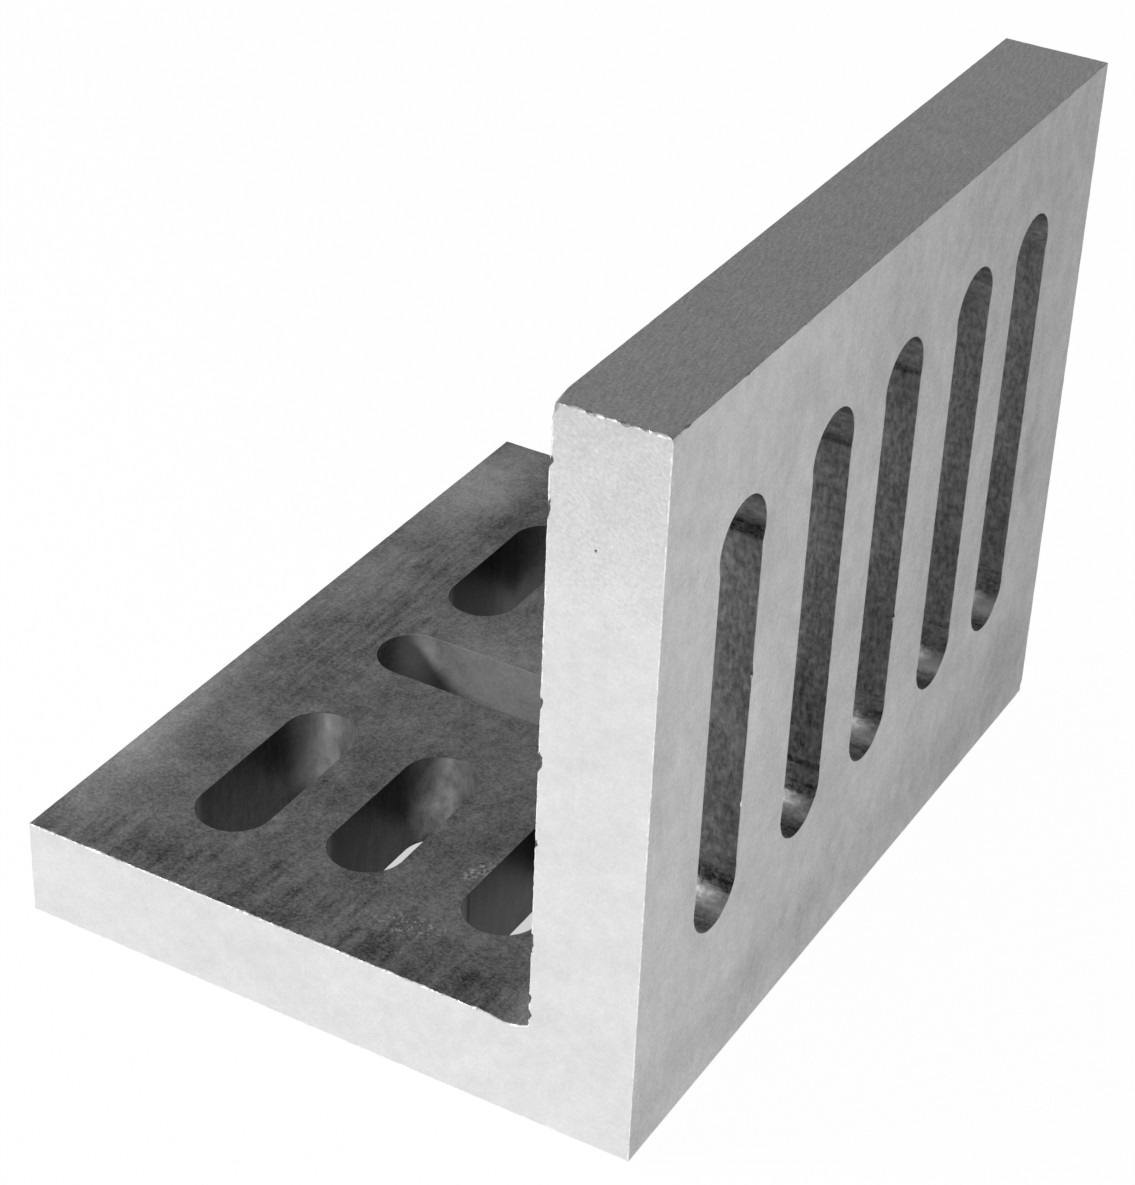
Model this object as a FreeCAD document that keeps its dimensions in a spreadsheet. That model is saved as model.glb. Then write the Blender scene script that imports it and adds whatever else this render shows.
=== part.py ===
# Slotted angle plate, open at both ends: one iron casting with a tall wall leg and a wide base leg.
# Frame: origin on the floor under the middle of the plate, +X out of the wall leg's outer face,
# +Y along the length, +Z up. Sizes are in millimetres.

import FreeCAD, Part
import math
import os
import Sketcher

NODE = "angle_plate"

# Overall sizes and the form of the inner corner. The first word of each line is the sheet's alias.
MAIN_SIZES = {
    "plate_length": 152.4,  # both legs, along Y
    "wall_height": 127.0,  # wall leg, along Z
    "base_width": 114.3,  # base leg, along X
    "wall_thickness": 18.5,
    "base_thickness": 17.8,
    "corner_run": 4.4,  # hollow fillet in the inner corner, measured from the wall leg
    "corner_rise": 0.8,  # how far the fillet climbs above the base leg's top
    "corner_dip": 0.4,  # how far the cutter went under the base leg's top before the fillet
    "dip_run": 3.6,  # length of the slope down into that dip
    "edge_break": 0.4,  # dressed corners along the length
    "wall_slot_lean": 0.26,  # degrees: all wall slots lean a little to the back
    "cross_slot_width": 13.25,
    "cross_slot_shift": 0.68,  # middle of the cross slot, from the middle of the length
    "cross_slot_free_land": 19.5,  # metal left at the base leg's free edge
    "cross_slot_wall_land": 11.8,  # metal left at the wall leg's inner face
    "front_bar": 16.5,  # metal between the front row of base slots and the cross slot
    "back_bar": 10.3,  # metal between the cross slot and the back row
}

# Wall slots, front to back: middle of the slot from the middle of the length, width, metal left
# over the base leg's top and under the wall leg's top, and how far the drilled hole at the low
# and the high end reaches past the milled sides.
WALL_SLOTS = {
    "wall1": dict(place=-52.4, width=13.35, low_land=12.15, high_land=20.95, low_over=0.22, high_over=0.48),
    "wall2": dict(place=-23.5, width=13.25, low_land=11.8, high_land=20.3, low_over=0.2, high_over=0.25),
    "wall3": dict(place=1.25, width=13.1, low_land=11.95, high_land=19.55, low_over=0.12, high_over=0.23),
    "wall4": dict(place=27.65, width=13.0, low_land=11.15, high_land=18.5, low_over=0.1, high_over=0.3),
    "wall5": dict(place=50.85, width=12.85, low_land=10.4, high_land=18.3, low_over=0.17, high_over=0.25),
}

# Base slots along the length: middle of the slot from the middle of the clear base top, width, and
# the metal left at the plate's own end. The other end stops short of the cross slot by the row's bar.
FRONT_SLOTS = {
    "front1": dict(place=-22.0, width=13.6, end_land=15.4),
    "front2": dict(place=2.45, width=13.6, end_land=18.2),
    "front3": dict(place=29.55, width=13.2, end_land=16.4),
}
BACK_SLOTS = {
    "back1": dict(place=-21.3, width=13.25, end_land=23.0),
    "back2": dict(place=2.45, width=13.25, end_land=23.0),
    "back3": dict(place=29.55, width=13.2, end_land=23.0),
}


def fill_sheet(document):
    """Put every size into the spreadsheet, one row each: its name, its value, and the alias on it."""
    sheet = document.addObject("Spreadsheet::Sheet", "sizes")
    rows = dict(MAIN_SIZES)
    for slots in (WALL_SLOTS, FRONT_SLOTS, BACK_SLOTS):
        for slot_name, slot_sizes in slots.items():
            for size_name, value in slot_sizes.items():
                rows[f"{slot_name}_{size_name}"] = value
    for row, (alias, value) in enumerate(rows.items(), start=1):
        sheet.set(f"A{row}", alias)
        sheet.set(f"B{row}", str(value))
        sheet.setAlias(f"B{row}", alias)
    document.recompute()
    return sheet


def new_sketch(body, plane_role, name):
    """Attach an empty sketch to one of the body's own origin planes."""
    sketch = body.newObject("Sketcher::SketchObject", name)
    plane = next(f for f in body.Origin.OriginFeatures if f.Role == plane_role)
    sketch.AttachmentSupport = [(plane, "")]
    sketch.MapMode = "FlatFace"
    return sketch


def drive(sketch, constraint, name, expression):
    """Add a named constraint whose value follows the spreadsheet."""
    index = sketch.addConstraint(constraint)
    sketch.renameConstraint(index, name)
    sketch.setExpression(f"Constraints.{name}", expression)


def add_profile(body, sheet):
    """The L section in the XZ plane: six straight sides, a slope down and the hollow corner fillet."""
    sketch = new_sketch(body, "XZ_Plane", "section")
    half_base = sheet.base_width / 2
    inner = half_base - sheet.wall_thickness
    dip_end = inner - sheet.corner_run
    dip_start = dip_end - sheet.dip_run
    floor = sheet.base_thickness - sheet.corner_dip
    climb = sheet.corner_dip + sheet.corner_rise
    radius = (sheet.corner_run**2 + climb**2) / (2 * climb)
    corners = [
        (-half_base, 0),
        (half_base, 0),
        (half_base, sheet.wall_height),
        (inner, sheet.wall_height),
        (inner, floor + climb),
    ]
    top = [(dip_end, floor), (dip_start, sheet.base_thickness), (-half_base, sheet.base_thickness), (-half_base, 0)]
    points = [FreeCAD.Vector(x, z, 0) for x, z in corners]
    top_points = [FreeCAD.Vector(x, z, 0) for x, z in top]
    bottom, outer, wall_top, inner_face = (
        sketch.addGeometry(Part.LineSegment(a, b)) for a, b in zip(points, points[1:])
    )
    turn = math.asin(sheet.corner_run / radius)
    circle = Part.Circle(top_points[0] + FreeCAD.Vector(0, radius, 0), FreeCAD.Vector(0, 0, 1), radius)
    fillet = sketch.addGeometry(Part.ArcOfCircle(circle, -math.pi / 2, -math.pi / 2 + turn))
    slope, base_top, free_edge = (
        sketch.addGeometry(Part.LineSegment(a, b)) for a, b in zip(top_points, top_points[1:])
    )
    loop = [(bottom, 2, outer, 1), (outer, 2, wall_top, 1), (wall_top, 2, inner_face, 1),
            (inner_face, 2, fillet, 2), (fillet, 1, slope, 1), (slope, 2, base_top, 1),
            (base_top, 2, free_edge, 1), (free_edge, 2, bottom, 1)]
    for first, first_end, second, second_end in loop:
        sketch.addConstraint(Sketcher.Constraint("Coincident", first, first_end, second, second_end))
    for flat in (bottom, wall_top, base_top):
        sketch.addConstraint(Sketcher.Constraint("Horizontal", flat))
    for upright in (outer, inner_face, free_edge):
        sketch.addConstraint(Sketcher.Constraint("Vertical", upright))
    sketch.addConstraint(Sketcher.Constraint("Symmetric", bottom, 1, bottom, 2, -1, 1))
    # the fillet starts level, so its centre stands straight over its low end
    sketch.addConstraint(Sketcher.Constraint("Vertical", fillet, 3, fillet, 1))
    drive(sketch, Sketcher.Constraint("DistanceX", bottom, 1, bottom, 2, sheet.base_width),
          "base_width", "sizes.base_width")
    drive(sketch, Sketcher.Constraint("DistanceY", outer, 1, outer, 2, sheet.wall_height),
          "wall_height", "sizes.wall_height")
    drive(sketch, Sketcher.Constraint("DistanceX", wall_top, 2, wall_top, 1, sheet.wall_thickness),
          "wall_thickness", "sizes.wall_thickness")
    drive(sketch, Sketcher.Constraint("DistanceY", free_edge, 2, free_edge, 1, sheet.base_thickness),
          "base_thickness", "sizes.base_thickness")
    drive(sketch, Sketcher.Constraint("DistanceX", fillet, 1, fillet, 2, sheet.corner_run),
          "corner_run", "sizes.corner_run")
    drive(sketch, Sketcher.Constraint("DistanceY", fillet, 1, fillet, 2, climb),
          "corner_climb", "sizes.corner_dip + sizes.corner_rise")
    drive(sketch, Sketcher.Constraint("DistanceX", slope, 2, slope, 1, sheet.dip_run),
          "dip_run", "sizes.dip_run")
    drive(sketch, Sketcher.Constraint("DistanceY", slope, 1, slope, 2, sheet.corner_dip),
          "corner_dip", "sizes.corner_dip")
    return sketch


def add_casting(document, body, sheet):
    """Pad the section to both sides of the middle and break its five outer corners."""
    section = add_profile(body, sheet)
    pad = body.newObject("PartDesign::Pad", "casting")
    pad.Profile = section
    pad.SideType = "Symmetric"
    pad.setExpression("Length", "sizes.plate_length")
    document.recompute()
    half_base = sheet.base_width / 2
    outer_corners = [
        (-half_base, 0),
        (half_base, 0),
        (half_base, sheet.wall_height),
        (half_base - sheet.wall_thickness, sheet.wall_height),
        (-half_base, sheet.base_thickness),
    ]
    names = []
    for number, edge in enumerate(pad.Shape.Edges, start=1):
        middle = edge.CenterOfMass
        if abs(middle.y) < 1e-6 and any(math.dist((middle.x, middle.z), c) < 1e-6 for c in outer_corners):
            names.append(f"Edge{number}")
    dressed = body.newObject("PartDesign::Chamfer", "dressed_corners")
    dressed.Base = (pad, names)
    dressed.setExpression("Size", "sizes.edge_break")
    document.recompute()
    return dressed


def slot_outline(sketch, width, span, low_over=None, high_over=None):
    """Draw a slot about the sketch's origin, along its own Y axis.

    Each argument is a value and its expression: the width, the distance between the two end centres,
    and how far each drilled end reaches past the sides. With no such reach the ends are tangent.
    """
    half_width, half_span = width[0] / 2, span[0] / 2
    up = FreeCAD.Vector(0, 0, 1)
    low_radius = half_width + (low_over[0] if low_over else 0)
    high_radius = half_width + (high_over[0] if high_over else 0)
    low_rise = math.sqrt(low_radius**2 - half_width**2)
    high_drop = math.sqrt(high_radius**2 - half_width**2)
    left, right = (
        sketch.addGeometry(Part.LineSegment(FreeCAD.Vector(x, -half_span + low_rise, 0),
                                            FreeCAD.Vector(x, half_span - high_drop, 0)))
        for x in (-half_width, half_width)
    )
    low_turn = math.atan2(low_rise, half_width)
    high_turn = math.atan2(high_drop, half_width)
    low_circle = Part.Circle(FreeCAD.Vector(0, -half_span, 0), up, low_radius)
    high_circle = Part.Circle(FreeCAD.Vector(0, half_span, 0), up, high_radius)
    low = sketch.addGeometry(Part.ArcOfCircle(low_circle, math.pi - low_turn, 2 * math.pi + low_turn))
    high = sketch.addGeometry(Part.ArcOfCircle(high_circle, -high_turn, math.pi + high_turn))
    meeting = "Coincident" if low_over else "Tangent"
    for side, side_end, arc, arc_end in ((left, 1, low, 1), (right, 1, low, 2),
                                         (right, 2, high, 1), (left, 2, high, 2)):
        sketch.addConstraint(Sketcher.Constraint(meeting, side, side_end, arc, arc_end))
    sketch.addConstraint(Sketcher.Constraint("Symmetric", low, 3, high, 3, -1, 1))
    sketch.addConstraint(Sketcher.Constraint("Vertical", left))
    drive(sketch, Sketcher.Constraint("DistanceY", low, 3, high, 3, span[0]), "span", span[1])
    if not low_over:
        sketch.addConstraint(Sketcher.Constraint("Equal", low, high))
        drive(sketch, Sketcher.Constraint("Radius", low, half_width), "radius", f"{width[1]} / 2")
        return
    sketch.addConstraint(Sketcher.Constraint("Vertical", right))
    sketch.addConstraint(Sketcher.Constraint("PointOnObject", low, 3, -2))
    drive(sketch, Sketcher.Constraint("DistanceX", left, 1, -1, 1, half_width), "left_half", f"{width[1]} / 2")
    drive(sketch, Sketcher.Constraint("DistanceX", -1, 1, right, 1, half_width), "right_half", f"{width[1]} / 2")
    drive(sketch, Sketcher.Constraint("Radius", low, low_radius), "low_radius", f"{width[1]} / 2 + {low_over[1]}")
    drive(sketch, Sketcher.Constraint("Radius", high, high_radius), "high_radius", f"{width[1]} / 2 + {high_over[1]}")


def cut_through(document, body, sketch, name):
    """Pocket a sketch right through, and check that metal was taken away."""
    before = body.Shape.Volume
    pocket = body.newObject("PartDesign::Pocket", name)
    pocket.Profile = sketch
    pocket.Type = "ThroughAll"
    document.recompute()
    if not pocket.Shape.Volume < before - 1:
        raise RuntimeError(f"{name} cuts nothing")


def cut_wall_slot(document, body, sheet, name, slot):
    """One slot along Z through the wall leg, between two drilled holes."""
    sketch = new_sketch(body, "YZ_Plane", f"{name}_outline")
    low = sheet.base_thickness + slot["low_land"]
    high = sheet.wall_height - slot["high_land"]
    low_end = f"sizes.base_thickness + sizes.{name}_low_land"
    high_end = f"sizes.wall_height - sizes.{name}_high_land"
    span = high - low - slot["width"] - slot["low_over"] - slot["high_over"]
    span_rule = (f"{high_end} - ({low_end}) - sizes.{name}_width"
                 f" - sizes.{name}_low_over - sizes.{name}_high_over")
    middle_rule = f"({high_end} + {low_end} + sizes.{name}_low_over - sizes.{name}_high_over) / 2"
    sketch.AttachmentOffset = FreeCAD.Placement(
        FreeCAD.Vector(slot["place"], (low + high + slot["low_over"] - slot["high_over"]) / 2, 0),
        FreeCAD.Rotation(FreeCAD.Vector(0, 0, -1), sheet.wall_slot_lean),
    )
    sketch.setExpression("AttachmentOffset.Base.x", f"sizes.{name}_place")
    sketch.setExpression("AttachmentOffset.Base.y", middle_rule)
    sketch.setExpression("AttachmentOffset.Base.z", "sizes.base_width / 2")
    sketch.setExpression("AttachmentOffset.Rotation.Angle", "sizes.wall_slot_lean")
    slot_outline(
        sketch,
        (slot["width"], f"sizes.{name}_width"),
        (span, span_rule),
        (slot["low_over"], f"sizes.{name}_low_over"),
        (slot["high_over"], f"sizes.{name}_high_over"),
    )
    cut_through(document, body, sketch, name)


def place_base_sketch(sketch, x_rule, y_rule, turn):
    """Lay a slot's sketch on the base leg's top, about the slot's own middle."""
    sketch.AttachmentOffset = FreeCAD.Placement(
        FreeCAD.Vector(0, 0, 0), FreeCAD.Rotation(FreeCAD.Vector(0, 0, 1), turn)
    )
    sketch.setExpression("AttachmentOffset.Base.x", x_rule)
    sketch.setExpression("AttachmentOffset.Base.y", y_rule)
    sketch.setExpression("AttachmentOffset.Base.z", "sizes.base_thickness")


def cut_base_slot(document, body, sheet, name, slot, side):
    """One slot along Y through the base leg. Side is -1 in front of the cross slot and 1 behind it."""
    sketch = new_sketch(body, "XY_Plane", f"{name}_outline")
    bar = sheet.front_bar if side < 0 else sheet.back_bar
    bar_rule = "sizes.front_bar" if side < 0 else "sizes.back_bar"
    near = side * sheet.cross_slot_shift + sheet.cross_slot_width / 2 + bar
    far = sheet.plate_length / 2 - slot["end_land"]
    near_rule = f"{side} * sizes.cross_slot_shift + sizes.cross_slot_width / 2 + {bar_rule}"
    far_rule = f"sizes.plate_length / 2 - sizes.{name}_end_land"
    place_base_sketch(sketch, f"sizes.{name}_place - sizes.wall_thickness / 2",
                      f"{side} * ({near_rule} + {far_rule}) / 2", 0)
    slot_outline(
        sketch,
        (slot["width"], f"sizes.{name}_width"),
        (far - near - slot["width"], f"{far_rule} - ({near_rule}) - sizes.{name}_width"),
    )
    cut_through(document, body, sketch, name)


def cut_cross_slot(document, body, sheet):
    """The slot along X through the base leg, between the two rows."""
    sketch = new_sketch(body, "XY_Plane", "cross_outline")
    lands = sheet.cross_slot_free_land + sheet.cross_slot_wall_land
    length = sheet.base_width - sheet.wall_thickness - lands
    length_rule = ("sizes.base_width - sizes.wall_thickness"
                   " - sizes.cross_slot_free_land - sizes.cross_slot_wall_land")
    middle_rule = ("(sizes.cross_slot_free_land - sizes.cross_slot_wall_land"
                   " - sizes.wall_thickness) / 2")
    place_base_sketch(sketch, middle_rule, "sizes.cross_slot_shift", 90)
    slot_outline(
        sketch,
        (sheet.cross_slot_width, "sizes.cross_slot_width"),
        (length - sheet.cross_slot_width, f"{length_rule} - sizes.cross_slot_width"),
    )
    cut_through(document, body, sketch, "cross")


def check_document(document):
    """Stop if any object failed to build or any solid is broken."""
    for item in document.Objects:
        if any(word in item.State for word in ("Invalid", "Error")):
            raise RuntimeError(f"{item.Name} failed: {item.State}")


def build():
    """Build the whole plate and write its one solid."""
    document = FreeCAD.newDocument("angle_plate_model")
    sheet = fill_sheet(document)
    body = document.addObject("PartDesign::Body", NODE)
    body.Label = NODE
    add_casting(document, body, sheet)
    for name, slot in WALL_SLOTS.items():
        cut_wall_slot(document, body, sheet, name, slot)
    cut_cross_slot(document, body, sheet)
    for name, slot in FRONT_SLOTS.items():
        cut_base_slot(document, body, sheet, name, slot, -1)
    for name, slot in BACK_SLOTS.items():
        cut_base_slot(document, body, sheet, name, slot, 1)
    body.Placement = FreeCAD.Placement()
    document.recompute()
    check_document(document)
    shape = body.Shape
    if shape.isNull() or not shape.isValid() or len(shape.Solids) != 1:
        raise RuntimeError("the plate is not one valid solid")
    os.makedirs("parts", exist_ok=True)
    shape.exportStep(f"parts/{body.Label}.step")
    box = shape.BoundBox
    print(f"{body.Label}: {box.XLength:.2f} x {box.YLength:.2f} x {box.ZLength:.2f} mm,"
          f" volume {shape.Volume:.0f} mm3, {len(shape.Faces)} faces")


build()
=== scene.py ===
"""Slotted angle plate: one iron casting with ground faces, milled slots and lightly burred, dressed edges.

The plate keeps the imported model's frame: +X out of the wall leg's outer face, +Y along the length, +Z up,
and the floor at zero. Sizes are in millimetres until the mesh is written, and then in metres.
"""

import logging
import math
from collections.abc import Iterable, Sequence
from dataclasses import dataclass, field, replace
from enum import Enum
from functools import cached_property
from itertools import accumulate
from typing import NamedTuple

import bmesh
import bpy
from mathutils import Matrix, Vector, noise
from mathutils.geometry import delaunay_2d_cdt

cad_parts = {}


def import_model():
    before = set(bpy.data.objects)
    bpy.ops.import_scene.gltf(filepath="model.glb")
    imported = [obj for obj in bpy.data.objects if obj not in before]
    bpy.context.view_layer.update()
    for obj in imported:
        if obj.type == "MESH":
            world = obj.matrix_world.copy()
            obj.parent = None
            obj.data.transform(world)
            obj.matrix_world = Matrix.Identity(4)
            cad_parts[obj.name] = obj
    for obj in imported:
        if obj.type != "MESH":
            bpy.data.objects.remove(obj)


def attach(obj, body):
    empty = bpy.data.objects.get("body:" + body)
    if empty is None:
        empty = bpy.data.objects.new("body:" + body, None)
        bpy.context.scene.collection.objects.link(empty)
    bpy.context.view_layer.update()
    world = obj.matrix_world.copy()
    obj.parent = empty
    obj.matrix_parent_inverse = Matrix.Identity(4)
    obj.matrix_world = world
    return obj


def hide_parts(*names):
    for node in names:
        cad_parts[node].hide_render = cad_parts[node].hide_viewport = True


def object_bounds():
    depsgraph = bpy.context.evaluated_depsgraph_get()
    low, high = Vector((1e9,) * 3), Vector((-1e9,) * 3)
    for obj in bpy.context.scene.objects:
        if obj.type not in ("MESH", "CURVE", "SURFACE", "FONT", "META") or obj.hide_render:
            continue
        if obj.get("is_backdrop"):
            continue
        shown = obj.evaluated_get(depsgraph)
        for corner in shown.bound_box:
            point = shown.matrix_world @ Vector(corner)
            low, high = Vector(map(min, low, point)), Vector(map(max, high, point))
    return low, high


LOG = logging.getLogger("angle_plate")
MM = 0.001
NODE = "angle_plate"
PIECE = "angle_plate_casting"
BODY = "root"

Flat = tuple[float, float]
Point = tuple[float, float, float]
Colour = tuple[float, float, float, float]


def grey(tone: float) -> Colour:
    """A neutral colour of the given linear tone."""
    return (tone, tone, tone, 1.0)


class Side(Enum):
    """The long surfaces of the casting, in order round the L section seen from the front end."""

    UNDERSIDE = "underside"
    WALL_FACE = "wall_face"
    WALL_TOP = "wall_top"
    INNER_FACE = "inner_face"
    FILLET = "fillet"
    DIP = "dip"
    BASE_TOP = "base_top"
    FREE_EDGE = "free_edge"

    @property
    def before(self) -> "Side":
        """The side before this one."""
        sides = list(Side)
        return sides[sides.index(self) - 1]

    @property
    def after(self) -> "Side":
        """The side after this one, and the first one after the last."""
        sides = list(Side)
        return sides[(sides.index(self) + 1) % len(sides)]


class End(Enum):
    """The two ends of the casting, with the direction along Y in which each one faces."""

    FRONT = -1
    BACK = 1


class Skin(Enum):
    """The finishes on the casting, in the order of the piece's material slots."""

    END_GROUND = 0
    WALL_GROUND = 1
    TOP_GROUND = 2
    BASE_MILLED = 3
    WALL_SLOT = 4
    DRILLED_END = 5
    # the base slots' lining, painted dark as shade
    BASE_SLOT_SHADE_AND_HIGHLIGHT = 6
    # the cross slot's lining, painted darker as shade and lighter where it is lit
    CROSS_SLOT_LIGHT_AND_SHADE = 7
    EDGE_BURR = 8
    EDGE_DRESSED = 9
    CORNER_CUT = 10


@dataclass(frozen=True)
class Nick:
    """A stretch of an edge that is dressed or knocked further back than the rest.

    Attributes:
        place: distance of its middle along the edge.
        reach: half of its length.
        first: extra setback on the edge's first face.
        second: extra setback on its second face.
        blunt: 1 fades evenly to both sides, and higher keeps the full depth for longer.
        taper: 1 starts with a corner, and higher starts gently, as a rounded vertex does.
        skin: the finish that it leaves, where that isn't the edge's own.
    """

    place: float
    reach: float
    first: float
    second: float
    blunt: float = 1.0
    taper: float = 1.0
    skin: Skin | None = None

    def share(self, distance: float) -> float:
        """How much of the nick's depth there is at a distance along the edge."""
        gap = abs(distance - self.place) / self.reach
        return 0.0 if gap >= 1.0 else (1.0 - gap ** (2.0 * self.blunt)) ** self.taper


def nicks(skin: Skin | None, *rows: tuple[float, ...]) -> tuple[Nick, ...]:
    """Nicks of one finish, each from its place, reach, first and second setback, bluntness and taper."""
    return tuple(Nick(*row, skin=skin) for row in rows)


@dataclass(frozen=True)
class EdgeBreak:
    """How far an edge is set back on its two faces, with the unevenness of a hand-dressed burr.

    Attributes:
        first: usual setback on the first face.
        second: usual setback on the second face.
        rough: share of the setback by which it wanders.
        grain: length over which it wanders.
        seed: picks the pattern.
        nicks: places that are set back further.
        skin: the finish of the broken edge.
    """

    first: float
    second: float
    rough: float
    grain: float
    seed: float
    nicks: tuple[Nick, ...] = ()
    skin: Skin = Skin.EDGE_BURR

    LEAST = 0.015
    # the pattern's slow and fast waves: their length as a share of the grain, their weight and their row
    WAVES = ((1.0, 1.1, 0.0), (0.31, 0.7, 7.3))
    # the pattern's row for each face
    ROWS = (0.0, 3.7)

    def wander(self, distance: float, row: float) -> float:
        """Uneven number round 1 for a distance along the edge, on its own row of the pattern."""
        waves = (
            weight * noise.noise(Vector((distance / (self.grain * share), self.seed, row + shift)))
            for share, weight, shift in self.WAVES
        )
        return 1.0 + self.rough * sum(waves)

    def setback(self, distance: float) -> Flat:
        """Setback on the first and second face at a distance along the edge."""
        first = self.first * self.wander(distance, self.ROWS[0])
        second = self.second * self.wander(distance, self.ROWS[1])
        for nick in self.nicks:
            share = nick.share(distance)
            first += nick.first * share
            second += nick.second * share
        return max(first, self.LEAST), max(second, self.LEAST)

    def skin_at(self, distance: float) -> Skin:
        """The finish at a distance along the edge."""
        for nick in self.nicks:
            if nick.skin and nick.share(distance) > 0.0:
                return nick.skin
        return self.skin

    def skins(self, length: float, parts: int) -> list[Skin]:
        """The finish in the middle of each of the equal parts of an edge of some length."""
        return [self.skin_at((k + 0.5) * length / parts) for k in range(parts)]


def lerp(low: float, high: float, share: float) -> float:
    """Number at a share of the way from low to high."""
    return low + (high - low) * share


def mix(one: Point, two: Point, share: float) -> Point:
    """Point at a share of the way between two."""
    return tuple(lerp(a, b, share) for a, b in zip(one, two))


def unit(start: Flat, stop: Flat) -> Flat:
    """Direction from one point to another."""
    length = math.dist(start, stop)
    return ((stop[0] - start[0]) / length, (stop[1] - start[1]) / length)


def mitre(before: Flat, after: Flat) -> Flat:
    """Direction and length by which a corner moves when both of its sides move by one."""
    scale = 1.0 + before[0] * after[0] + before[1] * after[1]
    return ((before[0] + after[0]) / scale, (before[1] + after[1]) / scale)


def pushes(lead: list[Flat], line: list[Flat], tail: list[Flat]) -> list[Flat]:
    """How each point of a line moves when the line moves into the metal by one.

    Args:
        lead: the point before the line, where its start is a hollow corner, or nothing.
        line: the points.
        tail: the point after the line, in the same way.

    Returns:
        A direction and length for each point.
    """
    path = [*lead, *line, *tail]
    along = [unit(start, stop) for start, stop in zip(path, path[1:])]
    ways = [(-z, x) for x, z in (*([] if lead else along[:1]), *along, *([] if tail else along[-1:]))]
    return [mitre(before, after) for before, after in zip(ways, ways[1:])]


def track_length(track: Sequence[Flat]) -> float:
    """Length of a track of points."""
    return sum(map(math.dist, track, track[1:]))


def spread(track: Sequence[Flat], parts: int, skip: Sequence[float]) -> list[Flat]:
    """Points along a track: its own if it's curved, and else evenly spread ones.

    Args:
        track: its corners.
        parts: how many parts a straight one is divided into.
        skip: how much of it is left out at its start and at its end.

    Returns:
        The points in order.
    """
    if len(track) > 2:
        return list(track)
    length = math.dist(*track)
    places = [lerp(skip[0], length - skip[1], k / parts) for k in range(parts + 1)]
    return [tuple(lerp(a, b, place / length) for a, b in zip(*track)) for place in places]


class BrokenEdge(NamedTuple):
    """Rows of points along a broken edge: on its first face, on the round between, and on its second face."""

    first: list[Point]
    middle: list[Point]
    second: list[Point]

    # how far the round reaches out to the sharp edge
    FULLNESS = 0.42

    def add(self, one: Point, two: Point, sharp: Point) -> None:
        """Add a place along the edge.

        Args:
            one: its point on the first face.
            two: its point on the second face.
            sharp: where the edge would be if it weren't broken.
        """
        self.first.append(one)
        self.middle.append(mix(mix(one, two, 0.5), sharp, self.FULLNESS))
        self.second.append(two)


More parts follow.
